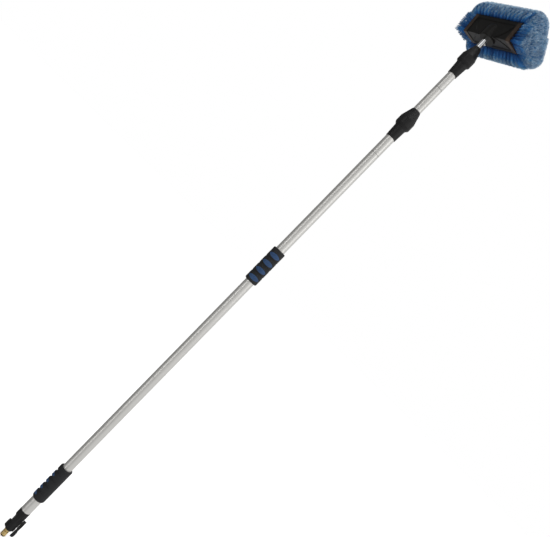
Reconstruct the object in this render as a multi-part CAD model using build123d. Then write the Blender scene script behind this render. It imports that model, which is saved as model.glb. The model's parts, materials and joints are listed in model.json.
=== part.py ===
from build123d import *
import math
import os

# Telescopic flow-through cleaning pole with an angled wash brush, in millimetres.
# Frame: the pole stands along +Z. The origin is on the pole's axis, where the hose nipple's barrel starts.
# The upper grip's pads face -Y, the lower grip's pads face -X, and the valve lever is on the +X side.

# ---------------------------------------------------------------- driving dimensions
RUN = 0.05                  # radial clearance of a running fit
SNUG = 0.03                 # radial gap between pieces that don't move on each other

OUTER_R, OUTER_BORE = 14.0, 12.7       # outer tube
MIDDLE_R, MIDDLE_BORE = 12.5, 11.25    # middle tube
INNER_R, INNER_BORE = 9.5, 8.5         # inner tube

OUTER_FOOT, OUTER_TOP = 70.0, 1531.0
MIDDLE_FOOT, MIDDLE_TOP = 303.0, 1769.0
INNER_FOOT, INNER_TOP = 430.0, 1888.0
CRIMP_Z = 1680.7                       # rolled groove that holds the guide bush

NIPPLE_R, NIPPLE_LENGTH, NIPPLE_TIP = 8.0, 11.5, -4.5
NIPPLE_BORE = 4.5
VALVE_FOOT, VALVE_TOP, VALVE_R = 19.5, 66.5, 12.3
VALVE_CAVITY_R, BALL_Z, BALL_R = 10.4, 52.2, 9.0
STEM_R, BONNET_R, BONNET_X = 3.15, 11.6, 15.0
HUB_R, HUB_X0, HUB_X1 = 10.8, 15.3, 24.3
FERRULE_Z0, FERRULE_Z1, FERRULE_R = 64.5, 88.3, 15.6
SLEEVE_Z1, SLEEVE_R = 133.3, 15.2

GRIP_R = 19.3
LOWER_GRIP = dict(z0=133.6, z1=246.2, first=146.4, pitch=22.8, ridges=5, pad_height=12.6, facing=180.0)
UPPER_GRIP = dict(z0=953.6, z1=1069.4, first=968.5, pitch=26.7, ridges=4, pad_height=13.6, facing=-90.0)
PADS = 4
PAD_HALF_WIDTH = 16.0

LOCK_1 = dict(
    tube=OUTER_R, tube_top=OUTER_TOP, slider=MIDDLE_R,
    z0=1496.0, joint=1533.3, wide0=1542.0, wide1=1563.0, z1=1597.6,
    foot_r=15.4, joint_r=17.3, wide_r=23.2, tip_r=14.2,
)
LOCK_2 = dict(
    tube=MIDDLE_R, tube_top=MIDDLE_TOP, slider=INNER_R,
    z0=1734.3, joint=1771.3, wide0=1778.5, wide1=1799.7, z1=1835.2,
    foot_r=14.3, joint_r=16.9, wide_r=21.5, tip_r=11.4,
)

BUTTON_Z, BUTTON_R, BUTTON_OUT = 1851.9, 3.1, 3.0

HEAD_TURN = 48.0            # the brush's long axis, turned from +X towards -Y
HEAD_TILT = 53.9            # angle between the pole and the plane of the brush
RIDGE_Z, RIDGE_OFF = 1888.5, 25.2      # the roof ridge stands off the pole's axis here
BLOCK_LENGTH, BLOCK_WIDTH, ROOF_HEIGHT = 162.0, 77.0, 42.0
LIP, WALL = 5.0, 4.0
PANEL_HALF_LENGTH, PANEL_HALF_WIDTH, PANEL_DEPTH = 69.0, 32.0, 1.2
BOSS_R, BOSS_FOOT, BOSS_DOME_Z = 23.0, 1867.4, 1896.0
BRISTLE_HALF_LENGTH, BRISTLE_FRONT, BRISTLE_REAR = 122.0, 67.0, -81.0
BRISTLE_FOOT, BRISTLE_TOP = -114.0, -42.0     # the foot, and the top of the side rows
PLAN_ROUND, FOOT_ROUND, TOP_ROUND = 39.0, 29.5, 29.5
CREST_FOOT, CREST_INSET = -84.0, 1.5
TUFT_GAP = 0.4

parts = {}


# ---------------------------------------------------------------- helpers
def turned(*points):
    """Solid of revolution about Z through (radius, z) corners."""
    outline = Polyline(*[(r, 0, z) for r, z in points], close=True)
    return revolve(make_face(outline), axis=Axis.Z, revolution_arc=360)


def ring(r_out, r_in, z0, z1):
    return turned((r_in, z0), (r_out, z0), (r_out, z1), (r_in, z1))


def rod(radius, z0, z1):
    return Pos(0, 0, z0) * Cylinder(radius, z1 - z0, align=(Align.CENTER, Align.CENTER, Align.MIN))


def rod_x(radius, x0, x1, y=0.0, z=0.0):
    return Pos(x0, y, z) * Rot(0, 90, 0) * rod(radius, 0, x1 - x0)


def box(x0, x1, y0, y1, z0, z1):
    centre = Pos((x0 + x1) / 2, (y0 + y1) / 2, (z0 + z1) / 2)
    return centre * Box(x1 - x0, y1 - y0, z1 - z0)


def o_ring(r_out, section, z):
    """A round-section ring whose outside has radius r_out."""
    return Pos(0, 0, z) * Torus(r_out - section / 2, section / 2)


def prism_x(points, x0, x1):
    """A prism along X with the (y, z) outline."""
    outline = Polyline(*[(x0, y, z) for y, z in points], close=True)
    return extrude(make_face(outline), amount=x1 - x0, dir=(1, 0, 0))


def prism_y(points, y0, y1):
    """A prism along Y with the (x, z) outline."""
    outline = Polyline(*[(x, y0, z) for x, z in points], close=True)
    return extrude(make_face(outline), amount=y1 - y0, dir=(0, 1, 0))


# ---------------------------------------------------------------- hose nipple and shut-off valve
def hose_nipple():
    waist, seat, collar0, collar1, tail = 6.6, 5.3, 15.5, VALVE_FOOT, 32.0
    body = turned(
        (0, NIPPLE_TIP), (6.4, NIPPLE_TIP), (6.9, NIPPLE_TIP + 0.5), (6.9, -3.7), (seat, -3.7), (seat, -1.1),
        (6.9, -1.1), (7.3, 0), (NIPPLE_R, 0), (NIPPLE_R, NIPPLE_LENGTH), (waist, 12.6), (waist, collar0),
        (8.2, collar0), (8.2, collar1), (6.0, collar1), (6.0, tail), (0, tail),
    )
    hexagon = Pos(0, 0, collar0) * extrude(RegularPolygon(9.6, 6), amount=collar1 - collar0)
    hexagon &= turned(
        (0, collar0), (8.6, collar0), (9.6, collar0 + 1), (9.6, collar1 - 0.6), (9.0, collar1), (0, collar1)
    )
    bore = turned((0, NIPPLE_TIP - 1), (5.5, NIPPLE_TIP - 1), (NIPPLE_BORE, NIPPLE_TIP + 0.5),
                  (NIPPLE_BORE, tail + 1), (0, tail + 1))
    return body + hexagon - bore


def valve_body():
    z0, z1, r = VALVE_FOOT + 0.05, VALVE_TOP, VALVE_R
    body = turned((0, z0), (r - 1.6, z0), (r, z0 + 1.6), (r, z1), (0, z1))
    lug_top, lug_half = 40.1, 5.2
    lug_side = [(-16.8, 24.5), (-12.5, 20.6), (0, 20.6), (0, lug_top), (-16.8, lug_top)]
    lug = prism_y(lug_side, -lug_half, lug_half)
    lug = fillet(lug.edges().filter_by(Axis.Y).group_by(Axis.X)[0], 1.4)
    guard = box(0, 14.6, -7.0, 7.0, 24.0, BALL_Z)
    guard = fillet(guard.edges().filter_by(Axis.Z).group_by(Axis.X)[-1], 3.0)
    bonnet = rod_x(BONNET_R, 2, BONNET_X, z=BALL_Z)
    # a nib on the bonnet that the lever's hub turns against
    nib = rod_x(8.4, BONNET_X - 0.5, HUB_X0 + 1.6, z=BALL_Z) - rod_x(6.4, 0, 30, z=BALL_Z)
    nib &= Pos(0, 0, BALL_Z) * Rot(45, 0, 0) * box(0, 30, -2.4, 2.4, 0, 12)
    body += lug + guard + bonnet + nib
    waterway = turned(
        (0, z0 - 1), (6.0 + SNUG, z0 - 1), (6.0 + SNUG, 32), (5.0, 32), (5.0, 40), (VALVE_CAVITY_R, 40),
        (VALVE_CAVITY_R, z1 + 1), (0, z1 + 1),
    )
    return body - waterway - rod_x(STEM_R + RUN, 8, 30, z=BALL_Z)


def ball_seats():
    """The two plastic seats that clamp the ball."""
    blank = ring(VALVE_CAVITY_R - SNUG, 5.0, BALL_Z - 12.1, BALL_Z + 9.4)
    blank -= rod(VALVE_CAVITY_R + 1, BALL_Z - 5.2, BALL_Z + 5.2)
    return blank - Pos(0, 0, BALL_Z) * Sphere(BALL_R + 0.06)


def valve_ball():
    ball = Pos(0, 0, BALL_Z) * Sphere(BALL_R)
    slot = box(6.2, 12, -1.5, 1.5, BALL_Z - 3.2, BALL_Z + 3.2)
    return ball - rod(4.5, BALL_Z - 12, BALL_Z + 12) - slot


def valve_stem():
    shank = rod_x(STEM_R, 9.35, 17.2, z=BALL_Z)
    groove = rod_x(5, 12.5, 13.6, z=BALL_Z) - rod_x(2.15, 0, 20, z=BALL_Z)
    square = box(17.2, 21.6, -2.3, 2.3, BALL_Z - 2.3, BALL_Z + 2.3)
    tongue = box(6.4, 9.4, -1.4, 1.4, BALL_Z - 2.9, BALL_Z + 2.9)
    return shank - groove + square + tongue - rod_x(1.6, 14, 30, z=BALL_Z)


def stem_o_ring():
    return Pos(13.05, 0, BALL_Z) * Rot(0, 90, 0) * Torus(2.66, 0.5)


STOP_HALF_ANGLE = 67.5      # half the arc that the nib travels in the hub's recess


def valve_lever():
    tip_z, heel_z = 10.4, BALL_Z + HUB_R
    side = [
        (14.9, tip_z), (21.6, tip_z), (24.0, 14.0), (25.2, 20.0), (24.6, 27.0), (23.4, 35.0), (23.6, 41.0),
        (HUB_X1, 47.0), (HUB_X1, heel_z), (HUB_X0, heel_z), (HUB_X0, 43.0), (16.4, 34.0), (15.4, 22.0),
    ]
    blade = prism_y(side, -HUB_R, HUB_R)
    front = [(-5.0, tip_z), (5.0, tip_z), (6.6, tip_z + 3), (7.4, 26.0), (8.2, BALL_Z), (-8.2, BALL_Z),
             (-7.4, 26.0), (-6.6, tip_z + 3)]
    outline = prism_x(front, 5, 30) + rod_x(HUB_R, 5, 30, z=BALL_Z)
    lever = blade & outline
    # finger scoop in the outer face, and the hub's stop recess, stem hole and screw seat
    lever -= Pos(38.6, 0, 30) * Rot(90, 0, 0) * Cylinder(15.4, 40)
    recess = rod_x(8.7, HUB_X0 - 1, HUB_X0 + 1.9, z=BALL_Z) - rod_x(6.1, 0, 30, z=BALL_Z)
    reach = math.radians(90 - STOP_HALF_ANGLE)
    side_y, side_z = 20 * math.cos(reach), 20 * math.sin(reach)
    beyond = prism_x([(0, 0), (side_y, side_z), (side_y, -20), (-side_y, -20), (-side_y, side_z)], 0, 30)
    lever -= recess - Pos(0, 0, BALL_Z) * beyond
    lever -= box(HUB_X0 - 1, 21.8, -2.35, 2.35, BALL_Z - 2.35, BALL_Z + 2.35)
    lever -= rod_x(STEM_R + RUN, HUB_X0 - 1, 17.3, z=BALL_Z)
    return lever - rod_x(1.8, 20, 30, z=BALL_Z) - rod_x(3.9, 22.6, 30, z=BALL_Z)


def lever_screw():
    head = rod_x(3.5, 22.62, 24.1, z=BALL_Z)
    head -= box(23.4, 25, -0.5, 0.5, BALL_Z - 2.6, BALL_Z + 2.6)
    head -= box(23.4, 25, -2.6, 2.6, BALL_Z - 0.5, BALL_Z + 0.5)
    return head + rod_x(1.55, 15, 23, z=BALL_Z)


def ferrule():
    """The ribbed union nut between the valve and the pole."""
    ribs, rib_r = 18, 2.1
    root_r, foot, top = FERRULE_R - 0.85, FERRULE_Z0, FERRULE_Z1
    section = Circle(root_r) + PolarLocations(FERRULE_R - rib_r, ribs) * Circle(rib_r)
    body = Pos(0, 0, foot) * extrude(section, amount=top - foot)
    body &= turned((0, foot), (FERRULE_R - 1.3, foot), (FERRULE_R, foot + 1.4), (FERRULE_R, top - 1.2),
                   (FERRULE_R - 1.0, top), (0, top))
    bore = turned(
        (0, foot - 1), (VALVE_R + SNUG, foot - 1), (VALVE_R + SNUG, VALVE_TOP), (OUTER_R + SNUG, VALVE_TOP),
        (OUTER_R + SNUG, top + 1), (0, top + 1),
    )
    return body - bore


SEAL_SECTION = 1.7


def tube_adaptor():
    """Plug between the valve and the outer tube, with two seal grooves."""
    spigot, floor, top = OUTER_BORE - 0.1, OUTER_BORE - RUN - SEAL_SECTION, 118.0
    points = [
        (6.5, BALL_Z + 9.5), (VALVE_CAVITY_R - 0.1, BALL_Z + 9.5), (VALVE_CAVITY_R - 0.1, VALVE_TOP),
        (OUTER_R - 0.1, VALVE_TOP), (OUTER_R - 0.1, OUTER_FOOT), (spigot, OUTER_FOOT),
    ]
    for z in (90.0, 104.0):
        points += [(spigot, z - 1.1), (floor, z - 1.1), (floor, z + 1.1), (spigot, z + 1.1)]
    points += [(spigot, top - 1.5), (spigot - 1.5, top), (6.5, top)]
    return turned(*points)


def adaptor_o_rings():
    return [o_ring(OUTER_BORE - RUN, SEAL_SECTION, z) for z in (90.0, 104.0)]


# ---------------------------------------------------------------- hand grips
def grip(z0, z1, first, pitch, ridges, facing, **_):
    """Moulded grip. Rounded finger valleys run across its pad side and fade out towards the back."""
    body = turned((0, z0), (GRIP_R, z0), (GRIP_R, z1), (0, z1))
    body = fillet(body.edges().group_by(Axis.Z)[0], 4.5)
    body = fillet(body.edges().group_by(Axis.Z)[-1], 2.5)
    valley_r, depth, shift = 6.6, 3.3, 2.6
    for i in range(ridges - 1):
        z = first + pitch * (i + 0.5)
        body -= Pos(-shift, 0, z) * Torus(GRIP_R + shift + valley_r - depth, valley_r)
    return Rot(0, 0, facing) * (body - rod(OUTER_R + SNUG, z0 - 1, z1 + 1))


def pad_cutter(radius, half_width, half_height, z):
    """An elliptical plug along +X at height z, cut off by a cylinder of the given radius."""
    face = Plane.YZ * Ellipse(half_width, half_height)
    plug = Pos(5, 0, z) * extrude(face, amount=20)
    return plug & rod(radius, z - half_height - 1, z + half_height + 1)


def grip_pads(first, pitch, pad_height, facing, **_):
    """Oval finger pads let into the ridges, standing slightly proud."""
    pads = []
    for i in range(PADS):
        z = first + pitch * i
        pad = pad_cutter(GRIP_R + 0.35, PAD_HALF_WIDTH, pad_height / 2, z)
        pad -= rod(GRIP_R - 1.8, z - 20, z + 20)
        pads.append(Rot(0, 0, facing) * pad)
    return pads


def grip_with_seats(**size):
    body = grip(**size)
    for i in range(PADS):
        z = size["first"] + size["pitch"] * i
        seat = pad_cutter(GRIP_R + 2, PAD_HALF_WIDTH + SNUG, size["pad_height"] / 2 + SNUG, z)
        seat -= rod(GRIP_R - 1.8 - SNUG, z - 20, z + 20)
        body -= Rot(0, 0, size["facing"]) * seat
    return body


# ---------------------------------------------------------------- twist locks
NUT_FLUTES = 12


def lock_stations(lock):
    """Heights and radii inside a lock that follow from its outside."""
    slider, wide = lock["slider"], lock["wide_r"]
    nose_top = lock["wide1"] - 7.0
    return dict(
        nose_r=slider + 3.7,
        nose_top=nose_top,
        collet_foot=nose_top + 0.3,
        collet_top=nose_top + 22.0,
        wedge0=nose_top + 6.5,
        wedge1=nose_top + 15.5,
        chamber_r=wide - 6.1,
        chamber_top=nose_top + 18.5,
        wiper_z=lock["z1"] - 9.0,
    )


def lock_collar(lock):
    """Sleeve pressed on the tube's end, with the nose that the nut turns on."""
    s = lock_stations(lock)
    z0, joint, tube = lock["z0"], lock["joint"], lock["tube"]
    return turned(
        (tube + SNUG, z0), (lock["foot_r"] - 0.5, z0), (lock["foot_r"], z0 + 0.8), (lock["joint_r"], joint),
        (s["nose_r"], joint), (s["nose_r"], s["nose_top"]), (lock["slider"] + 0.3, s["nose_top"]),
        (lock["slider"] + 0.3, lock["tube_top"] + 0.05), (tube + SNUG, lock["tube_top"] + 0.05),
    )


def collet_cone(lock, gap=0.0):
    """Outer radii of the collet's fingers at their foot and top."""
    return lock["slider"] + 2.6 + gap, lock["slider"] + 1.2 + gap


def lock_collet(lock):
    """Split ring whose six fingers grip the sliding tube."""
    s = lock_stations(lock)
    foot, top = s["collet_foot"], s["collet_top"]
    r_foot, r_top = collet_cone(lock)
    body = turned(
        (lock["slider"] + RUN, foot), (s["nose_r"] - 0.2, foot), (s["nose_r"] - 0.2, foot + 3.0),
        (r_foot, foot + 3.0), (r_top, top), (lock["slider"] + RUN, top),
    )
    for i in range(3):
        body -= Rot(0, 0, 60 * i) * box(-40, 40, -0.7, 0.7, foot + 5.0, top + 1)
    return body


def lock_wedge(lock):
    """Thrust ring whose cone squeezes the collet."""
    s = lock_stations(lock)
    foot, top = s["collet_foot"] + 3.0, s["collet_top"]
    r_foot, r_top = collet_cone(lock, gap=0.08)
    slope = (r_top - r_foot) / (top - foot)

    def inner(z):
        return r_foot + slope * (z - foot)

    z0, z1 = s["wedge0"], s["wedge1"]
    return turned((inner(z0), z0), (s["chamber_r"] - 0.15, z0), (s["chamber_r"] - 0.15, z1), (inner(z1), z1))


def lock_nut(lock):
    """The outer twist nut: step, wide band, fluted taper and rounded mouth."""
    s = lock_stations(lock)
    joint, wide, tip, z1 = lock["joint"] + 0.4, lock["wide_r"], lock["tip_r"], lock["z1"]
    outside = turned(
        (0, joint), (lock["joint_r"] + 0.2, joint), (lock["joint_r"] + 0.6, joint + 1.5),
        (wide - 1.6, lock["wide0"] - 2.2), (wide, lock["wide0"]), (wide, lock["wide1"]),
        (tip, z1 - 2.0), (tip - 0.8, z1 - 0.6), (tip - 1.8, z1), (0, z1),
    )
    taper = math.degrees(math.atan2(wide - tip, z1 - 2.0 - lock["wide1"]))
    length = z1 - lock["wide1"]
    flute = Cylinder(3.0, length * 1.1, align=(Align.CENTER, Align.CENTER, Align.MIN))
    for i in range(NUT_FLUTES):
        place_at = Pos(wide + 2.9, 0, lock["wide1"] + 0.5) * Rot(0, -taper - 1, 0)
        outside -= Rot(0, 0, 360 / NUT_FLUTES * i) * place_at * flute
    mouth = lock["slider"] + 0.35
    chamber_end = s["chamber_top"] + 9.0
    inside = turned(
        (0, joint - 1), (s["nose_r"] + RUN, joint - 1), (s["nose_r"] + RUN, s["nose_top"] + 0.1),
        (s["chamber_r"], s["nose_top"] + 0.1), (s["chamber_r"], s["chamber_top"]), (mouth + 0.6, chamber_end),
        (mouth, chamber_end), (mouth, z1 + 1), (0, z1 + 1),
    )
    groove = ring(lock["slider"] + 1.55, 0.5, s["wiper_z"] - 1.3, s["wiper_z"] + 1.3)
    return outside - inside - groove


def lock_wiper(lock):
    """Rubber wiper in the nut's mouth."""
    s = lock_stations(lock)
    z, slider = s["wiper_z"], lock["slider"]
    return turned((slider + 0.35, z - 1.25), (slider + 1.5, z - 1.25), (slider + 1.5, z + 1.25),
                  (slider + 0.35, z + 1.25), (slider + RUN, z))


# ---------------------------------------------------------------- tubes, pistons and stop button
def middle_tube():
    tube = ring(MIDDLE_R, MIDDLE_BORE, MIDDLE_FOOT, MIDDLE_TOP)
    return tube - Pos(0, 0, CRIMP_Z) * Torus(MIDDLE_R + 0.9, 1.5)


def middle_bush():
    """Guide for the inner tube, held by the rolled groove."""
    return ring(MIDDLE_BORE - RUN, INNER_R + 0.1, CRIMP_Z - 13, CRIMP_Z + 13)


def piston(bore, tube_bore, waterway, foot, shoulder):
    """Sliding piston: a skirt with two seal grooves and a spigot that the tube above turns on."""
    skirt, floor = bore - 0.1, bore - RUN - SEAL_SECTION
    spigot = tube_bore - RUN
    points = [(waterway, foot), (skirt - 1, foot), (skirt, foot + 1)]
    for z in (foot + 5.0, foot + 13.0):
        points += [(skirt, z - 1.1), (floor, z - 1.1), (floor, z + 1.1), (skirt, z + 1.1)]
    points += [(skirt, shoulder), (spigot, shoulder), (spigot, shoulder + 21), (spigot - 1, shoulder + 22),
               (waterway, shoulder + 22)]
    return turned(*points)


def piston_seals(bore, foot):
    return [o_ring(bore - RUN, SEAL_SECTION, z) for z in (foot + 5.0, foot + 13.0)]


def to_button(shape):
    """Turns a shape made along +X at the origin to the stop button's place."""
    return Pos(0, 0, BUTTON_Z) * Rot(0, 0, -HEAD_TURN) * shape


def inner_tube():
    tube = ring(INNER_R, INNER_BORE, INNER_FOOT, INNER_TOP)
    return tube - to_button(rod_x(BUTTON_R + RUN, 0, 20))


def stop_button():
    pin = rod_x(BUTTON_R, INNER_BORE - 2.6, INNER_R + BUTTON_OUT)
    pin = fillet(pin.edges().group_by(Axis.X)[-1], 1.6)
    flange = rod_x(4.2, INNER_BORE - 3.8, INNER_BORE) & rod(INNER_BORE - 0.1, -9, 9)
    return to_button(pin + flange)


def button_spring():
    """Leaf spring behind the button: two legs joined by a bend below it."""
    half_width, bend_z, leg_top, thick = 2.5, -26.0, 3.6, 0.6
    front_side = [(3.9, leg_top), (4.65, leg_top), (3.2, bend_z), (2.4, bend_z)]
    back_side = [(-3.4, leg_top), (-2.65, leg_top), (-2.4, bend_z), (-3.2, bend_z)]
    front_leg = prism_y(front_side, -half_width, half_width)
    back_leg = prism_y(back_side, -half_width, half_width)
    bend = Pos(0, 0, bend_z) * Rot(90, 0, 0) * (Cylinder(3.2, 2 * half_width) - Cylinder(3.2 - thick, 20))
    bend &= box(-5, 5, -5, 5, bend_z - 5, bend_z)
    return to_button(front_leg + back_leg + bend)


# ---------------------------------------------------------------- brush head
# The head is built in its own axes: X along the brush, Z out of its roof, Y across it.
TURN, TILT = math.radians(HEAD_TURN), math.radians(HEAD_TILT)
LONG_AXIS = Vector(math.cos(TURN), -math.sin(TURN), 0)
ROOF_AXIS = Vector(-math.cos(TILT) * math.sin(TURN), -math.cos(TILT) * math.cos(TURN), -math.sin(TILT))
RIDGE = Vector(0, 0, RIDGE_Z) + ROOF_AXIS * RIDGE_OFF
HEAD = Plane(origin=RIDGE, x_dir=LONG_AXIS, z_dir=ROOF_AXIS).location
HALF_L, HALF_W = BLOCK_LENGTH / 2, BLOCK_WIDTH / 2
EAVE = -ROOF_HEIGHT
LEDGE_Y = 30.0
BLOCK_TOP, BLOCK_FOOT = EAVE - 1.0, EAVE - 12.0
SKIRT_Y = HALF_W - 1.9


def roof_outline(lower, half_width, foot):
    """(y, z) outline of a roof lowered by a distance measured square to its slopes."""
    drop = lower / math.cos(math.atan2(ROOF_HEIGHT, HALF_W))
    eave = -drop - ROOF_HEIGHT * half_width / HALF_W
    return [(0, -drop), (half_width, eave), (half_width, foot), (-half_width, foot), (-half_width, eave)]


def in_head(shape):
    """Brings a shape made along the pole into the head's own axes."""
    return HEAD.inverse() * shape


def socket_boss():
    """Round socket for the inner tube, closed by a dome, kept inside the roof's hollow."""
    boss = turned((0, BOSS_FOOT), (BOSS_R - 1.5, BOSS_FOOT), (BOSS_R, BOSS_FOOT + 1.5), (BOSS_R, BOSS_DOME_Z),
                  (0, BOSS_DOME_Z))
    boss += Pos(0, 0, BOSS_DOME_Z) * Sphere(BOSS_R)
    return in_head(boss) & box(-60, 60, -60, 60, EAVE + 4.0, 60)


def socket_bore():
    """Tube seat, insert seat, seal seat and waterway along the pole's axis."""
    seat_top = INNER_TOP + 0.1
    return in_head(turned(
        (0, BOSS_FOOT - 5), (INNER_R + 0.1, BOSS_FOOT - 5), (INNER_R + 0.1, 1869.4), (12.55, 1869.4),
        (12.55, seat_top), (7.0, seat_top), (7.0, 1912), (0, 1912),
    ))


def panel_recess():
    """The shallow panel sunk into both slopes, inside a raised border."""
    low = roof_outline(PANEL_DEPTH, PANEL_HALF_WIDTH, -80)
    high = roof_outline(-6, PANEL_HALF_WIDTH, -80)
    band = prism_x(high, -PANEL_HALF_LENGTH, PANEL_HALF_LENGTH) - prism_x(low, -HALF_L, HALF_L)
    return fillet(band.edges().filter_by(Axis.Z), 5.0)


def corner_ribs():
    """Four ribs from the boss towards the panel's corners."""
    ribs = None
    for side_x in (-1, 1):
        for side_y in (-1, 1):
            start, end = Vector(side_x * 24, 0, 0), Vector(side_x * 66, side_y * 31.0, 0)
            mid = (start + end) * 0.5 + Vector(side_x * 3, -side_y * 4, 0)
            path = ThreePointArc(start, mid, end)
            strip = extrude(trace(path, 2.2), amount=120, both=True)
            ribs = strip if ribs is None else ribs + strip
    return ribs & prism_x(roof_outline(0.1, HALF_W - 2, EAVE), -HALF_L, HALF_L)


def head_cover():
    roof = prism_x(roof_outline(0, HALF_W, EAVE - LIP), -HALF_L, HALF_L)
    roof = fillet(roof.edges().filter_by(Axis.X).group_by(Axis.Z)[-1], 3.0)
    roof -= panel_recess()
    hollow = prism_x(roof_outline(WALL + PANEL_DEPTH, LEDGE_Y, EAVE - 1), -HALF_L + 9, HALF_L - 9)
    seat = box(-HALF_L + 1.9, HALF_L - 1.9, -SKIRT_Y, SKIRT_Y, EAVE - LIP - 1, EAVE)
    shell = roof - hollow - seat
    ribs = corner_ribs() - prism_x(roof_outline(2.0, HALF_W, -90), -HALF_L, HALF_L)
    return shell + ribs + socket_boss() - socket_bore() - screw_holes(1.2, EAVE + 3.6)


SCREW_HEAD_R, SCREW_HEAD_TOP = 2.1, -46.9


def screw_places():
    return [(x, y) for x in (-58.0, 0.0, 58.0) for y in (-33.3, 33.3)]


def screw_holes(radius, top):
    holes = None
    for x, y in screw_places():
        hole = Pos(x, y, 0) * rod(radius, BLOCK_FOOT - 1, top)
        holes = hole if holes is None else holes + hole
    return holes


def jet_places():
    return [-60.0, -30.0, 0.0, 30.0, 60.0]


def tuft_block():
    """Base that carries the tufts; its flanks lean in towards the flat foot."""
    flank, foot_half = SKIRT_Y - 0.2, 32.6
    outline = [(flank, BLOCK_TOP), (flank, EAVE - LIP), (foot_half, BLOCK_FOOT), (-foot_half, BLOCK_FOOT),
               (-flank, EAVE - LIP), (-flank, BLOCK_TOP)]
    block = prism_x(outline, -HALF_L + 2.1, HALF_L - 2.1)
    for x in jet_places():
        block -= Pos(x, 0, 0) * rod(2.6 + SNUG, BLOCK_FOOT - 1, BLOCK_TOP + 1)
    return block - screw_holes(1.3, BLOCK_TOP + 1) - screw_holes(SCREW_HEAD_R + SNUG, SCREW_HEAD_TOP)


def head_gasket():
    outer = box(-HALF_L + 2.4, HALF_L - 2.4, -SKIRT_Y + 0.4, SKIRT_Y - 0.4, BLOCK_TOP + 0.1, EAVE - 0.1)
    inner = box(-HALF_L + 8.5, HALF_L - 8.5, -LEDGE_Y, LEDGE_Y, BLOCK_TOP - 1, EAVE + 1)
    return outer - inner - screw_holes(1.4, EAVE + 1)


def cover_screws():
    """Screws through the block's rim into the cover's ledge, heads sunk in the block's flanks."""
    screws = []
    for x, y in screw_places():
        shank = rod(1.15, SCREW_HEAD_TOP - 1, EAVE + 3.4)
        head = rod(SCREW_HEAD_R, SCREW_HEAD_TOP - 1.7, SCREW_HEAD_TOP - 0.05)
        slot = box(-3, 3, -0.35, 0.35, SCREW_HEAD_TOP - 2, SCREW_HEAD_TOP - 1.0)
        screws.append(Pos(x, y, 0) * (shank + head - slot))
    return screws


def water_jets():
    return [Pos(x, 0, 0) * ring(2.6, 1.2, BLOCK_FOOT, BLOCK_TOP - 0.1) for x in jet_places()]


def bristle_envelope():
    """Trimmed outline of all the bristles: a pillow whose two ends rise to the roof's ridge."""
    width = BRISTLE_FRONT - BRISTLE_REAR
    middle = (BRISTLE_FRONT + BRISTLE_REAR) / 2
    plan = Pos(0, middle) * RectangleRounded(2 * BRISTLE_HALF_LENGTH, width, PLAN_ROUND)
    pillow = extrude(Pos(0, 0, BRISTLE_FOOT) * plan, amount=BRISTLE_TOP - BRISTLE_FOOT)
    pillow = fillet(pillow.edges().group_by(Axis.Z)[0], FOOT_ROUND)
    pillow = fillet(pillow.edges().group_by(Axis.Z)[-1], TOP_ROUND)
    gable = [(0, -4), (HALF_W, EAVE - 1), (HALF_W, CREST_FOOT), (-HALF_W, CREST_FOOT), (-HALF_W, EAVE - 1)]
    reach = BRISTLE_HALF_LENGTH - CREST_INSET
    return pillow + prism_x(gable, -reach, reach)


def tufts_bottom(envelope):
    foot_top = BLOCK_FOOT - TUFT_GAP
    return envelope & box(-HALF_L + 0.5, HALF_L - 0.5, -HALF_W + 0.6, HALF_W - 0.6, -200, foot_top)


def tufts_side(envelope, side):
    """Bristles that fan out of one long side."""
    y0, y1 = sorted((side * (HALF_W + TUFT_GAP), side * 100.0))
    return envelope & box(-HALF_L + 0.5, HALF_L - 0.5, y0, y1, -200, 0)


def tufts_end(envelope, side):
    """Bristles that fan out of one end, as high as the roof beside them."""
    x0, x1 = sorted((side * (HALF_L + TUFT_GAP), side * 200.0))
    return envelope & box(x0, x1, -100, 100, -200, 0)


# ---------------------------------------------------------------- assembly
def place(name, *shapes):
    """Stores one node, which may hold several separate solids."""
    solids = [solid for shape in shapes for solid in shape.solids()]
    parts[name] = solids[0] if len(solids) == 1 else Compound(solids)


place("hose_nipple", hose_nipple())
place("nipple_o_ring", o_ring(NIPPLE_R - 0.1, 2.5, -2.4))
place("valve_body", valve_body())
place("ball_seats", ball_seats())
place("valve_ball", valve_ball())
place("valve_stem", valve_stem())
place("stem_o_ring", stem_o_ring())
place("valve_lever", valve_lever())
place("lever_screw", lever_screw())
place("union_ferrule", ferrule())
place("tube_adaptor", tube_adaptor())
place("adaptor_o_rings", *adaptor_o_rings())
place("outer_tube", ring(OUTER_R, OUTER_BORE, OUTER_FOOT + 0.05, OUTER_TOP))
place("end_sleeve", ring(SLEEVE_R, OUTER_R + SNUG, FERRULE_Z1 + 0.1, SLEEVE_Z1))

for name, size in (("lower_grip", LOWER_GRIP), ("upper_grip", UPPER_GRIP)):
    place(name, grip_with_seats(**size))
    place(name + "_pads", *grip_pads(**size))

for name, lock in (("lock1", LOCK_1), ("lock2", LOCK_2)):
    place(name + "_collar", lock_collar(lock))
    place(name + "_collet", lock_collet(lock))
    place(name + "_wedge_ring", lock_wedge(lock))
    place(name + "_nut", lock_nut(lock))
    place(name + "_wiper", lock_wiper(lock))

MIDDLE_PISTON_FOOT, INNER_PISTON_FOOT = MIDDLE_FOOT - 20, INNER_FOOT - 20
place("middle_piston", piston(OUTER_BORE, MIDDLE_BORE, 7.5, MIDDLE_PISTON_FOOT, MIDDLE_FOOT - 0.05))
place("middle_piston_seals", *piston_seals(OUTER_BORE, MIDDLE_PISTON_FOOT))
place("middle_tube", middle_tube())
place("middle_guide_bush", middle_bush())
place("inner_piston", piston(MIDDLE_BORE, INNER_BORE, 5.5, INNER_PISTON_FOOT, INNER_FOOT - 0.05))
place("inner_piston_seals", *piston_seals(MIDDLE_BORE, INNER_PISTON_FOOT))
place("inner_tube", inner_tube())
place("stop_button", stop_button())
place("button_spring", button_spring())

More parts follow.
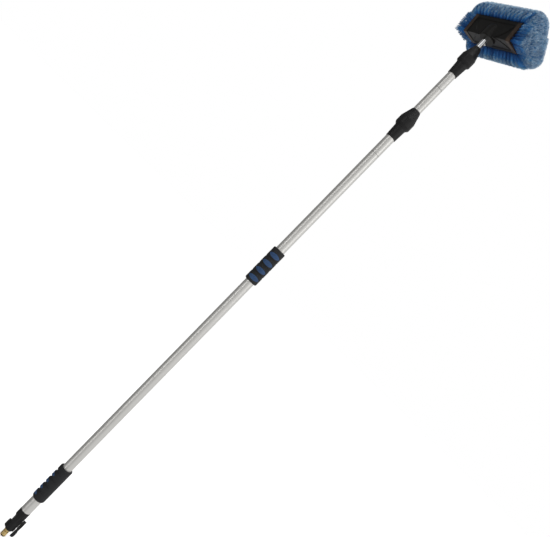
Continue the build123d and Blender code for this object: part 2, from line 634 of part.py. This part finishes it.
place("socket_insert", ring(12.5, INNER_R + SNUG, 1872.0, INNER_TOP))
place("socket_o_ring", o_ring(11.9, 2.3, 1870.7))
place("head_cover", HEAD * head_cover())
place("tuft_block", HEAD * tuft_block())
place("head_gasket", HEAD * head_gasket())
place("cover_screws", *[HEAD * screw for screw in cover_screws()])
place("water_jets", *[HEAD * jet for jet in water_jets()])
bristles = bristle_envelope()
place("tufts_bottom", HEAD * tufts_bottom(bristles))
for name, side in (("tufts_front", 1), ("tufts_rear", -1)):
    place(name, HEAD * tufts_side(bristles, side))
for name, side in (("tufts_near_end", 1), ("tufts_far_end", -1)):
    place(name, HEAD * tufts_end(bristles, side))

os.makedirs("parts", exist_ok=True)
for name, shape in parts.items():
    export_step(shape, f"parts/{name}.step")
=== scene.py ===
"""Looks of a telescopic window cleaning pole with a water-fed brush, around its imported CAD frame."""
import json
import math

import bpy
import numpy as np
from mathutils import Matrix, Vector


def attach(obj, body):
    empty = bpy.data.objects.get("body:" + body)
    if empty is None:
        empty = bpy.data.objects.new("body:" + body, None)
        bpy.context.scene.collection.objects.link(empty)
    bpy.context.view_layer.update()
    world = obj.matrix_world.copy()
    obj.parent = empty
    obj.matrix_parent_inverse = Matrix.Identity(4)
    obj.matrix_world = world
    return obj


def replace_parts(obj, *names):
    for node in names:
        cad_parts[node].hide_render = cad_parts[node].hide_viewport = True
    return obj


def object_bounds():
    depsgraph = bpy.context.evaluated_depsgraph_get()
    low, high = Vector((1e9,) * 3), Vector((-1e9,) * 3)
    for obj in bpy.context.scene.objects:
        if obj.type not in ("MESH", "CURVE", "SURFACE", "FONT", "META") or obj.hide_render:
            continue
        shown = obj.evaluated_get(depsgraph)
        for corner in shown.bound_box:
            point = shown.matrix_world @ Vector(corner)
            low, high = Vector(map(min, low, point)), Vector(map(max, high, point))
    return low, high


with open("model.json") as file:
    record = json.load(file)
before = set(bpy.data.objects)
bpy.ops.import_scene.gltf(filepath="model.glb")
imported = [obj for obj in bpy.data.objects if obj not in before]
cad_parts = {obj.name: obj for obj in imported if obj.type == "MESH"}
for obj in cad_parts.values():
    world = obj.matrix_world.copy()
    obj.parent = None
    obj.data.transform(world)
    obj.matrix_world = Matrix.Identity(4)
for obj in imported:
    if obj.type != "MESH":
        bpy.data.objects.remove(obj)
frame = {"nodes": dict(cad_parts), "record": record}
cad_low, cad_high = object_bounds()
nodes = frame["nodes"]
scene = bpy.context.scene
rng = np.random.default_rng(11)

# ---------------------------------------------------------------- material kit


class Shader:
    """A small helper that builds one node material."""

    def __init__(self, name, color, roughness=0.5, metallic=0.0):
        self.material = bpy.data.materials.new(name)
        self.material.use_nodes = True
        self.tree = self.material.node_tree
        self.tree.nodes.clear()
        self.out = self.node("ShaderNodeOutputMaterial")
        self.bsdf = self.node("ShaderNodeBsdfPrincipled")
        self.link(self.bsdf.outputs["BSDF"], self.out.inputs["Surface"])
        self.bsdf.inputs["Base Color"].default_value = (*color, 1)
        self.bsdf.inputs["Roughness"].default_value = roughness
        self.bsdf.inputs["Metallic"].default_value = metallic
        coordinates = self.node("ShaderNodeTexCoord")
        self.place = coordinates.outputs["Object"]

    def node(self, kind, **values):
        made = self.tree.nodes.new(kind)
        for key, value in values.items():
            setattr(made, key, value)
        return made

    def link(self, source, target):
        self.tree.links.new(source, target)

    def stretched(self, scale):
        """The object's coordinates times a scale on each axis."""
        mapping = self.node("ShaderNodeMapping")
        mapping.inputs["Scale"].default_value = scale
        self.link(self.place, mapping.inputs["Vector"])
        return mapping.outputs["Vector"]

    def noise(self, scale, detail=3.0, roughness=0.5, stretch=(1, 1, 1)):
        made = self.node("ShaderNodeTexNoise")
        made.inputs["Scale"].default_value = scale
        made.inputs["Detail"].default_value = detail
        made.inputs["Roughness"].default_value = roughness
        self.link(self.stretched(stretch), made.inputs["Vector"])
        return made.outputs["Fac"]

    def cells(self, scale):
        made = self.node("ShaderNodeTexVoronoi")
        made.inputs["Scale"].default_value = scale
        self.link(self.place, made.inputs["Vector"])
        return made.outputs["Distance"]

    def ramp(self, value, stops):
        made = self.node("ShaderNodeValToRGB")
        elements = made.color_ramp.elements
        while len(elements) < len(stops):
            elements.new(0.5)
        for element, (position, color) in zip(elements, stops):
            element.position = position
            element.color = (*color, 1)
        self.link(value, made.inputs["Fac"])
        return made.outputs["Color"]

    def between(self, value, low, high):
        made = self.node("ShaderNodeMapRange")
        made.inputs["To Min"].default_value = low
        made.inputs["To Max"].default_value = high
        self.link(value, made.inputs["Value"])
        return made.outputs["Result"]

    def mix(self, factor, first, second, blend="MIX"):
        made = self.node("ShaderNodeMix", data_type="RGBA", blend_type=blend)
        if isinstance(factor, float):
            made.inputs[0].default_value = factor
        else:
            self.link(factor, made.inputs[0])
        self.link(first, made.inputs[6])
        self.link(second, made.inputs[7])
        return made.outputs[2]

    def color(self, value, stops):
        self.link(self.ramp(value, stops), self.bsdf.inputs["Base Color"])

    def rough(self, value, low, high):
        self.link(self.between(value, low, high), self.bsdf.inputs["Roughness"])

    def near_height(self, height, reach):
        """1 within reach of a height on the pole, fading to 0 at twice the reach."""
        split = self.node("ShaderNodeSeparateXYZ")
        self.link(self.place, split.inputs["Vector"])
        above = self.node("ShaderNodeMath", operation="SUBTRACT")
        self.link(split.outputs["Z"], above.inputs[0])
        above.inputs[1].default_value = height
        distance = self.node("ShaderNodeMath", operation="ABSOLUTE")
        self.link(above.outputs["Value"], distance.inputs[0])
        made = self.node("ShaderNodeMapRange")
        made.inputs["From Min"].default_value = 2 * reach
        made.inputs["From Max"].default_value = reach
        self.link(distance.outputs["Value"], made.inputs["Value"])
        return made.outputs["Result"]

    def bump(self, height, strength, distance):
        made = self.node("ShaderNodeBump")
        made.inputs["Strength"].default_value = strength
        made.inputs["Distance"].default_value = distance
        self.link(height, made.inputs["Height"])
        self.link(made.outputs["Normal"], self.bsdf.inputs["Normal"])


def moulded(name, dark, light, roughness, grain=600.0, depth=0.00008):
    """Moulded plastic: faint mottling, a fine spark-eroded grain and uneven sheen."""
    s = Shader(name, dark, roughness)
    s.color(s.noise(38.0, 5.0, 0.6), [(0.3, dark), (0.75, light)])
    s.bsdf.inputs["Specular IOR Level"].default_value = 0.35
    s.rough(s.noise(90.0, 4.0, 0.6), roughness - 0.09, roughness + 0.1)
    s.bump(s.noise(grain, 2.0, 0.6), 0.10, depth)
    return s.material


def drawn_metal(name, dark, light, roughness, stretch, scale, depth, groove=None):
    """Metal with fine lines along or round its axis and a few cloudy marks; groove is the height of a ring of
    painted shade.
    """
    s = Shader(name, light, roughness, 1.0)
    lines = s.noise(scale, 2.0, 0.5, stretch)
    clouds = s.noise(9.0, 4.0, 0.6)
    metal = s.mix(clouds, s.ramp(lines, [(0.25, dark), (0.7, light)]),
                  s.ramp(lines, [(0.3, light), (0.8, light)]))
    if groove is not None:
        # Painted shade of the groove: a darker ring round the tube.
        shade = s.ramp(lines, [(0.2, GROOVE_SHADE_DARK), (0.8, GROOVE_SHADE_LIGHT)])
        metal = s.mix(s.near_height(groove, GROOVE_REACH), metal, shade)
    s.link(metal, s.bsdf.inputs["Base Color"])
    s.rough(lines, roughness - 0.03, roughness + 0.04)
    s.bump(lines, 0.015, depth)
    return s.material


def pebbled(name, dark, light, roughness):
    """Soft-touch rubber with a leathery pebble."""
    s = Shader(name, dark, roughness)
    s.color(s.noise(55.0, 5.0, 0.65), [(0.3, dark), (0.75, light)])
    s.rough(s.noise(140.0, 3.0, 0.6), roughness - 0.08, roughness + 0.08)
    s.bump(s.cells(500.0), 0.12, 0.0002)
    return s.material


# Height of the ring on each tube, the reach of its painted shade and the colours of that painted shade.
GROOVES = {"outer_tube": 1.4353, "middle_tube": 1.6807}
GROOVE_REACH = 0.0007
GROOVE_SHADE_DARK, GROOVE_SHADE_LIGHT = (0.44, 0.435, 0.42), (0.56, 0.555, 0.54)

# Line stretches: drawn along the pole, or turned round it.
DRAWN = (1, 1, 0.012)
TUBE = ((0.71, 0.70, 0.675), (0.82, 0.81, 0.78), 0.42, DRAWN, 150.0, 0.00002)

MATERIALS = {
    "brass": drawn_metal("brass_turned", (0.46, 0.30, 0.10), (0.80, 0.60, 0.27), 0.26,
                         (1, 1, 30), 60.0, 0.00003),
    "seal_rubber": pebbled("seal_rubber_black", (0.008, 0.008, 0.008), (0.02, 0.02, 0.02), 0.5),
    "black_plastic": moulded("black_plastic_grained", (0.004, 0.004, 0.0043), (0.011, 0.0108, 0.011), 0.46),
    "white_plastic": moulded("white_plastic_moulded", (0.62, 0.62, 0.60), (0.75, 0.75, 0.73), 0.4),
    "grey_plastic": moulded("grey_plastic_moulded", (0.16, 0.165, 0.17), (0.23, 0.235, 0.24), 0.42),
    "chrome_metal": drawn_metal("chrome_polished", (0.60, 0.61, 0.63), (0.86, 0.87, 0.88), 0.10,
                                (1, 1, 8), 40.0, 0.00001),
    "steel": drawn_metal("stainless_steel", (0.40, 0.40, 0.39), (0.62, 0.61, 0.60), 0.28,
                         (1, 1, 12), 60.0, 0.00002),
    "tube_aluminium": drawn_metal("tube_anodised", *TUBE),
    "polished_aluminium": drawn_metal("tube_polished", (0.70, 0.71, 0.73), (0.90, 0.91, 0.92), 0.07,
                                      DRAWN, 300.0, 0.00001),
    "grip_rubber": pebbled("grip_rubber_black", (0.004, 0.0045, 0.0055), (0.011, 0.012, 0.014), 0.62),
    "blue_rubber": pebbled("pad_rubber_blue", (0.014, 0.055, 0.155), (0.028, 0.09, 0.225), 0.55),
}


def dress(node):
    """Gives a carried-over CAD node the material of its slot."""
    for slot in node.material_slots:
        key = slot.material.name.split(".")[0] if slot.material else ""
        if key in MATERIALS:
            slot.material = MATERIALS[key]


# ---------------------------------------------------------------- brush head axes
MM = 0.001
BRISTLE_FOOT = -114.0
face = next(m for m in frame["record"]["mounts"] if m["name"] == "bristle_face")
ROOF_AXIS = -Vector(face["axis"]).normalized()
LONG_AXIS = Vector((-ROOF_AXIS.y, ROOF_AXIS.x, 0)).normalized()
WIDE_AXIS = ROOF_AXIS.cross(LONG_AXIS)
RIDGE = Vector(face["pos_m"]) - ROOF_AXIS * BRISTLE_FOOT * MM
AXES = np.array([LONG_AXIS, WIDE_AXIS, ROOF_AXIS])
# Distance along the head from its middle where the painted highlight on the end borders starts, and where it is
# full.
BORDER_HIGHLIGHT_START, BORDER_HIGHLIGHT_END = 0.0685, 0.0705


def to_frame(points):
    """Head millimetres (long, wide, roof) to the shared frame's metres."""
    return np.array(RIDGE) + points * MM @ AXES


def head_material():
    """Moulded black plastic whose raised end borders carry a painted highlight in a warmer, paler tone."""
    s = Shader("head_plastic_moulded", (0.006, 0.006, 0.0055), 0.42)
    along = s.node("ShaderNodeVectorMath", operation="DOT_PRODUCT")
    s.link(s.place, along.inputs[0])
    along.inputs[1].default_value = LONG_AXIS
    from_ridge = s.node("ShaderNodeMath", operation="SUBTRACT")
    s.link(along.outputs["Value"], from_ridge.inputs[0])
    from_ridge.inputs[1].default_value = LONG_AXIS.dot(RIDGE)
    outward = s.node("ShaderNodeMath", operation="ABSOLUTE")
    s.link(from_ridge.outputs["Value"], outward.inputs[0])
    # Mask of the end borders, where the painted highlight is laid over the plastic.
    border_highlight_mask = s.node("ShaderNodeMapRange")
    border_highlight_mask.inputs["From Min"].default_value = BORDER_HIGHLIGHT_START
    border_highlight_mask.inputs["From Max"].default_value = BORDER_HIGHLIGHT_END
    s.link(outward.outputs["Value"], border_highlight_mask.inputs["Value"])
    panel = s.ramp(s.noise(38.0, 5.0, 0.6), [(0.3, (0.0030, 0.0029, 0.0027)), (0.75, (0.0085, 0.0075, 0.0065))])
    # Warm, pale painted highlight on the end borders, mottled by noise.
    border_highlight = s.ramp(s.noise(60.0, 5.0, 0.7), [(0.35, (0.014, 0.010, 0.008)), (0.65, (0.075, 0.050, 0.034))])
    s.link(s.mix(border_highlight_mask.outputs["Result"], panel, border_highlight), s.bsdf.inputs["Base Color"])
    s.bsdf.inputs["Specular IOR Level"].default_value = 0.25
    s.rough(s.noise(90.0, 4.0, 0.6), 0.34, 0.52)
    s.bump(s.noise(600.0, 2.0, 0.6), 0.10, 0.00008)
    return s.material


MATERIALS["head_plastic"] = head_material()

# ---------------------------------------------------------------- bristles
HALF_LENGTH, FRONT, REAR = 120.0, 67.0, 81.0
PLAN_ROUND, FOOT_ROUND, TOP_ROUND = 39.0, 29.5, 29.5
REAR_PLAN_ROUND, REAR_FOOT_ROUND = 26.0, 18.0
END_BULGE, SIDE_TOP = 4.5, -42.0
# Over the roof: how much of the top rounding is left, and the line the end bristles are trimmed to.
ROOF_ROUNDING, ROOF_TOP, ROOF_SLOPE = 0.12, -4.0, 1.02
# How fast the plan's corners tighten where the outline draws in.
CORNER_TIGHTENING, TIGHTEST_CORNER = 0.6, 2.0
BLOCK_X, BLOCK_Y, BLOCK_FOOT = 81.0, 38.5, -54.0
# The straight part's share of each filament; above it the filament splits into two hairs.
SHAFT_SHARE = 0.84
# Radii at the root and the tip, rings along the length and how unevenly the tips are cut.
SHAFT = (0.55, 0.45, 4, 0.0)
HAIR = (0.40, 0.28, 3, 0.25)
HAIR_SPLAY, SHORTEST_HAIR, FILAMENT_WAVE = 0.16, 2.0, 0.8
# Distance at which a filament is surely still inside the outline, and surely outside it.
NEAREST, FARTHEST = 6.0, 150.0


def inside(p):
    """Which head points lie within the trimmed outline of the bristles."""
    x, y, z = np.abs(p[..., 0]), p[..., 1], p[..., 2]
    half = np.where(y > 0, FRONT, REAR)
    across = np.abs(y)
    foot_round = np.where(y > 0, FOOT_ROUND, REAR_FOOT_ROUND)
    low = np.clip(BRISTLE_FOOT + foot_round - z, 0, foot_round)
    inset = foot_round - np.sqrt(np.maximum(foot_round ** 2 - low ** 2, 0))
    high = np.clip(z - (SIDE_TOP - TOP_ROUND), 0, TOP_ROUND)
    crest = across < BLOCK_Y
    inset = inset + np.where(crest, ROOF_ROUNDING, 1.0) * (TOP_ROUND - np.sqrt(TOP_ROUND ** 2 - high ** 2))
    length = HALF_LENGTH + END_BULGE * (1 - (across / half) ** 2) - inset
    half = half - inset
    radius = np.where(y > 0, PLAN_ROUND, REAR_PLAN_ROUND) - CORNER_TIGHTENING * inset
    radius = np.maximum(radius, TIGHTEST_CORNER)
    corner = np.hypot(np.maximum(x - (length - radius), 0), np.maximum(across - (half - radius), 0))
    top = np.where(crest, ROOF_TOP - ROOF_SLOPE * across, SIDE_TOP)
    return (corner <= radius) & (x <= length) & (across <= half) & (z >= BRISTLE_FOOT) & (z <= top)


def trimmed_length(roots, ways):
    """Distance from each root to the trimmed outline along its way."""
    near, far = np.full(len(roots), NEAREST), np.full(len(roots), FARTHEST)
    for _ in range(16):
        middle = (near + far) / 2
        within = inside(roots + ways * middle[:, None])
        near, far = np.where(within, middle, near), np.where(within, far, middle)
    return near


def strands(roots, ways, lengths, tones, radius0, radius1, rings, ragged):
    """Tapered closed three-sided filaments: vertices, side faces, caps, place along each and its tone."""
    count = len(roots)
    steps = np.linspace(0, 1, rings)
    side = np.cross(ways, rng.normal(size=(count, 3)))
    side /= np.linalg.norm(side, axis=1)[:, None]
    other = np.cross(ways, side)
    reach = lengths * (1 - ragged * rng.random(count) ** 2)
    wave = rng.normal(size=(count, 1)) * FILAMENT_WAVE
    points = np.empty((count, rings, 3, 3))
    for i, t in enumerate(steps):
        centre = roots + ways * (reach * t)[:, None] + side * wave * math.sin(math.pi * t)
        radius = radius0 + (radius1 - radius0) * t
        for k in range(3):
            angle = 2 * math.pi * k / 3
            points[:, i, k] = centre + (side * math.cos(angle) + other * math.sin(angle)) * radius
    ring = np.arange(rings - 1)[:, None] * 3
    a = ring + np.arange(3)[None]
    b = ring + (np.arange(3)[None] + 1) % 3
    quads = np.stack([a, b, b + 3, a + 3], -1).reshape(-1, 4)
    per = rings * 3
    base = (np.arange(count) * per)[:, None, None]
    quads = (quads[None] + base).reshape(-1, 4)
    root_caps = (np.array([[2, 1, 0]])[None] + base).reshape(-1, 3)
    tip_caps = (np.array([[per - 3, per - 2, per - 1]])[None] + base).reshape(-1, 3)
    along = np.repeat(np.tile(steps, (count, 1)), 3, axis=1).reshape(-1)
    shade = np.repeat(0.65 * tones + 0.35 * rng.random(count), per)
    return points.reshape(-1, 3), quads, np.vstack([root_caps, tip_caps]), along, shade


def tuft_mesh(name, roots, ways, tones):
    """One bristle piece: straight shafts, each ending in two finer flagged hairs."""
    lengths = trimmed_length(roots, ways)
    shaft = lengths * SHAFT_SHARE
    parts = [strands(roots, ways, shaft, tones, *SHAFT)]
    parts[0] = (*parts[0][:3], parts[0][3] * SHAFT_SHARE, parts[0][4])
    for _ in range(2):
        fork = ways + rng.normal(size=ways.shape) * HAIR_SPLAY
        fork /= np.linalg.norm(fork, axis=1)[:, None]
        start = roots + ways * shaft[:, None]
        rest = np.minimum(lengths - shaft, trimmed_length(start - fork * NEAREST, fork) - NEAREST)
        hair = strands(start, fork, np.maximum(rest, SHORTEST_HAIR), tones, *HAIR)
        parts.append((*hair[:3], SHAFT_SHARE + hair[3] * (1 - SHAFT_SHARE), hair[4]))
    vertices, quads, caps, along, shade, offset = [], [], [], [], [], 0
    for v, q, c, t, h in parts:
        vertices.append(to_frame(v))
        quads.append(q + offset)
        caps.append(c + offset)
        along.append(t)
        shade.append(h)
        offset += len(v)
    mesh = bpy.data.meshes.new(name)
    quads, caps = np.vstack(quads), np.vstack(caps)
    vertices = np.vstack(vertices)
    mesh.vertices.add(len(vertices))
    mesh.vertices.foreach_set("co", vertices.astype(np.float32).ravel())
    loops = np.concatenate([quads.ravel(), caps.ravel()])
    mesh.loops.add(len(loops))
    mesh.loops.foreach_set("vertex_index", loops.astype(np.int32))
    starts = np.concatenate([np.arange(len(quads)) * 4, len(quads) * 4 + np.arange(len(caps)) * 3])
    mesh.polygons.add(len(starts))
    mesh.polygons.foreach_set("loop_start", starts.astype(np.int32))
    mesh.update(calc_edges=True)
    mesh.validate()
    for key, values in (("along", along), ("shade", shade)):
        layer = mesh.attributes.new(key, "FLOAT", "POINT")
        layer.data.foreach_set("value", np.concatenate(values).astype(np.float32))
    mesh.materials.append(BRISTLE)
    made = bpy.data.objects.new(name, mesh)
    scene.collection.objects.link(made)
    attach(made, "brush_section")
    return made


def bristle_material():
    """Deep blue shafts that pale to grey-blue, frayed tips; the deepest blue at the roots is painted shade."""
    s = Shader("bristle_blue", (0.05, 0.2, 0.6), 0.38, 0.0)
    along = s.node("ShaderNodeAttribute", attribute_name="along").outputs["Fac"]
    shade = s.node("ShaderNodeAttribute", attribute_name="shade").outputs["Fac"]
    # Colour along each filament: painted shade deepest at the root that thins out up the shaft, then paler
    # frayed tips.
    shaft = s.ramp(along, [(0.0, (0.005, 0.06, 0.25)), (0.45, (0.022, 0.18, 0.56)),
                           (0.80, (0.07, 0.31, 0.72)), (0.93, (0.15, 0.40, 0.70)),
                           (1.0, (0.47, 0.62, 0.76))])
    tone = s.ramp(shade, [(0.0, (0.32, 0.38, 0.50)), (0.5, (0.85, 0.88, 0.92)), (1.0, (1.6, 1.5, 1.3))])
    s.link(s.mix(1.0, shaft, tone, "MULTIPLY"), s.bsdf.inputs["Base Color"])
    return s.material


BRISTLE = bristle_material()


# Filaments in each tuft, pitch of the tufts, radius of a tuft at its root and how far it fans out.
SIDE_EACH, SIDE_PITCH, SIDE_STAGGER, SIDE_SPREAD, SIDE_FAN = 46, 11.0, 4.0, 2.5, 0.07
END_EACH, END_PITCH, END_SPREAD, END_FAN = 44, 6.0, 2.2, 0.15
FOOT_EACH, FOOT_PITCH_X, FOOT_PITCH_Y, FOOT_SPREAD, FOOT_FAN = 30, 10.5, 9.0, 3.0, 0.10
STRAY = 0.018


def rows(x0, x1, pitch):
    """Evenly spaced places from x0 to x1, about a pitch apart."""
    count = int(round((x1 - x0) / pitch))
    return np.linspace(x0, x1, count + 1)


def unit(v):
    return v / np.linalg.norm(v, axis=1)[:, None]


def scattered(centres, ways, each, spread, fan):
    """Filaments of every tuft: a round bundle at the root that opens out a little."""
    count = len(centres) * each
    roots = np.repeat(centres, each, axis=0)
    lines = np.repeat(ways, each, axis=0)
    angle, reach = rng.random(count) * 2 * math.pi, np.sqrt(rng.random(count))
    side = unit(np.cross(lines, np.array([0.31, 0.23, 0.92])))
    other = np.cross(lines, side)
    offset = (side * np.cos(angle)[:, None] + other * np.sin(angle)[:, None]) * reach[:, None]
    tones = np.repeat(rng.random(len(centres)), each)
    return roots + offset * spread, unit(lines + offset * fan + rng.normal(size=(count, 3)) * STRAY), tones


def side_tufts(sign, tilts, each):
    """Rows of tufts along one long side, from level to steep."""
    centres, ways = [], []
    for k, (z, slope) in enumerate(tilts):
        for x in rows(-BLOCK_X + 5, BLOCK_X - 9, SIDE_PITCH) + (k % 2) * SIDE_STAGGER:
            edge = x / BLOCK_X
            centres.append((x, sign * (BLOCK_Y - 1.5), z))
            ways.append((0.42 * edge ** 3 + 0.10 * edge, sign * math.cos(slope), -math.sin(slope)))
    return scattered(np.array(centres), unit(np.array(ways)), each, SIDE_SPREAD, SIDE_FAN)


def end_tufts(sign, tilts, each):
    """Rows of tufts across one end, which climb with the roof to its ridge."""
    centres, ways = [], []
    for k, (drop, slope) in enumerate(tilts):
        for y in rows(-BLOCK_Y + 3, BLOCK_Y - 3, END_PITCH):
            z = -10.0 - 1.04 * abs(y) - drop * (BLOCK_Y - abs(y)) / BLOCK_Y
            z = max(z - (k > 0) * 2.0, BLOCK_FOOT + 1.5)
            across = y / BLOCK_Y
            centres.append((sign * (BLOCK_X - 0.5), y, z))
            ways.append((sign * math.cos(slope), 0.75 * across * abs(across) + 0.12 * across, -math.sin(slope)))
    return scattered(np.array(centres), unit(np.array(ways)), each, END_SPREAD, END_FAN)


def foot_tufts(each):
    """The tufts under the block, nearly straight, leaning out towards its edges."""
    centres, ways = [], []
    for x in rows(-BLOCK_X + 6, BLOCK_X - 6, FOOT_PITCH_X):
        for y in rows(-BLOCK_Y + 6, BLOCK_Y - 6, FOOT_PITCH_Y):
            centres.append((x, y, BLOCK_FOOT + 0.5))
            ways.append((0.42 * x / BLOCK_X, 0.5 * y / BLOCK_Y, -1.0))
    return scattered(np.array(centres), unit(np.array(ways)), each, FOOT_SPREAD, FOOT_FAN)


RAD = math.radians
SIDE_ROWS = [(-46.5, RAD(2)), (-48.5, RAD(14)), (-49.5, RAD(28)), (-51.0, RAD(44)),
             (-52.5, RAD(60))]
END_ROWS = [(0.0, RAD(6)), (10.0, RAD(16)), (20.0, RAD(28)), (30.0, RAD(40)), (38.0, RAD(52)),
            (44.0, RAD(64))]
for side_name, side_sign in (("front", 1), ("rear", -1)):
    piece = tuft_mesh("bristles_" + side_name, *side_tufts(side_sign, SIDE_ROWS, SIDE_EACH))
    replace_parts(piece, "tufts_" + side_name)
for end_name, end_sign in (("near_end", 1), ("far_end", -1)):
    piece = tuft_mesh("bristles_" + end_name, *end_tufts(end_sign, END_ROWS, END_EACH))
    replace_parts(piece, "tufts_" + end_name)
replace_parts(tuft_mesh("bristles_foot", *foot_tufts(FOOT_EACH)), "tufts_bottom")

# ---------------------------------------------------------------- carried-over CAD nodes
for cad_node in nodes.values():
    dress(cad_node)
    # Tubes with a groove get a metal of their own with a ring of painted shade at its height.
    if cad_node.name in GROOVES:
        tube_metal = drawn_metal(cad_node.name + "_anodised", *TUBE, groove=GROOVES[cad_node.name])
        cad_node.material_slots[0].material = tube_metal

# ---------------------------------------------------------------- stage, light and camera


def plane(name, corners, material):
    mesh = bpy.data.meshes.new(name)
    mesh.from_pydata([tuple(c) for c in corners], [], [(0, 1, 2, 3)])
    mesh.materials.append(material)
    made = bpy.data.objects.new(name, mesh)
    scene.collection.objects.link(made)
    return made


FLOOR_HALF, FLOOR_DROP = 40.0, 0.0005
floor_z = cad_low.z - FLOOR_DROP
floor_paint = Shader("floor_pale", (0.90, 0.90, 0.895), 0.9)
floor_paint.bsdf.inputs["Emission Color"].default_value = (1, 1, 1, 1)
floor_paint.bsdf.inputs["Emission Strength"].default_value = 0.60
floor_corners = [(x * FLOOR_HALF, y * FLOOR_HALF, floor_z) for x, y in ((-1, -1), (1, -1), (1, 1), (-1, 1))]
floor = plane("floor", floor_corners, floor_paint.material)
floor.visible_diffuse = False
floor.visible_glossy = False
floor.visible_shadow = False

world = bpy.data.worlds.new("studio")
world.use_nodes = True
air = world.node_tree
backdrop_light = air.nodes["Background"]
backdrop_light.inputs["Color"].default_value = (1.0, 1.0, 1.0, 1)
room_light = air.nodes.new("ShaderNodeBackground")
room_light.inputs["Strength"].default_value = 0.66
room_coordinates = air.nodes.new("ShaderNodeTexCoord")
room_axes = air.nodes.new("ShaderNodeSeparateXYZ")
air.links.new(room_coordinates.outputs["Generated"], room_axes.inputs["Vector"])
room_ramp = air.nodes.new("ShaderNodeValToRGB")
room_ramp.color_ramp.elements[0].position = 0.30
room_ramp.color_ramp.elements[0].color = (0.36, 0.36, 0.36, 1)
room_ramp.color_ramp.elements[1].position = 0.62
room_ramp.color_ramp.elements[1].color = (1.0, 1.0, 1.0, 1)
room_sides = air.nodes.new("ShaderNodeMapRange")
room_sides.inputs["From Min"].default_value = -1.0
air.links.new(room_axes.outputs["X"], room_sides.inputs["Value"])
air.links.new(room_sides.outputs["Result"], room_ramp.inputs["Fac"])
air.links.new(room_ramp.outputs["Color"], room_light.inputs["Color"])
seen_directly = air.nodes.new("ShaderNodeLightPath")
room_mix = air.nodes.new("ShaderNodeMixShader")
air.links.new(seen_directly.outputs["Is Camera Ray"], room_mix.inputs["Fac"])
air.links.new(room_light.outputs["Background"], room_mix.inputs[1])
air.links.new(backdrop_light.outputs["Background"], room_mix.inputs[2])
air.links.new(room_mix.outputs["Shader"], air.nodes["World Output"].inputs["Surface"])
scene.world = world


def area_light(name, at, aim, size, power):
    data = bpy.data.lights.new(name, "AREA")
    data.shape = "RECTANGLE"
    data.size, data.size_y = size
    data.energy = power
    lamp = bpy.data.objects.new(name, data)
    lamp.location = at
    lamp.rotation_mode = "QUATERNION"
    lamp.rotation_quaternion = (Vector(aim) - Vector(at)).to_track_quat("-Z", "Y")
    scene.collection.objects.link(lamp)
    return lamp


area_light("key_left", (-1.9, -2.1, 0.9), (0, 0, 0.9), (0.9, 5.6), 20.0)
area_light("fill_right", (2.6, -1.4, 1.8), (0, 0, 1.1), (1.4, 2.4), 9.0)
area_light("top_soft", (0.2, -0.6, 4.2), (0, 0, 1.2), (2.0, 2.0), 26.0)

PICTURE_WIDTH, SENSOR_WIDTH, FOCAL_PIXELS = 550.0, 36.0, 600.0
camera_data = bpy.data.cameras.new("camera")
camera_data.sensor_width = SENSOR_WIDTH
camera_data.lens = FOCAL_PIXELS * SENSOR_WIDTH / PICTURE_WIDTH
camera_data.clip_start, camera_data.clip_end = 0.05, 200.0
camera = bpy.data.objects.new("camera", camera_data)
RIGHT, UP = Vector((0.71496, 0, 0.69917)), Vector((-0.69917, 0, 0.71496))
BACK = Vector((0, -1, 0))
CAMERA_PLACE = (0.0239, -1.623, 1.0258)
camera.matrix_world = Matrix.Translation(CAMERA_PLACE) @ Matrix((RIGHT, UP, BACK)).transposed().to_4x4()
scene.collection.objects.link(camera)
scene.camera = camera
scene.view_settings.view_transform = "Standard"
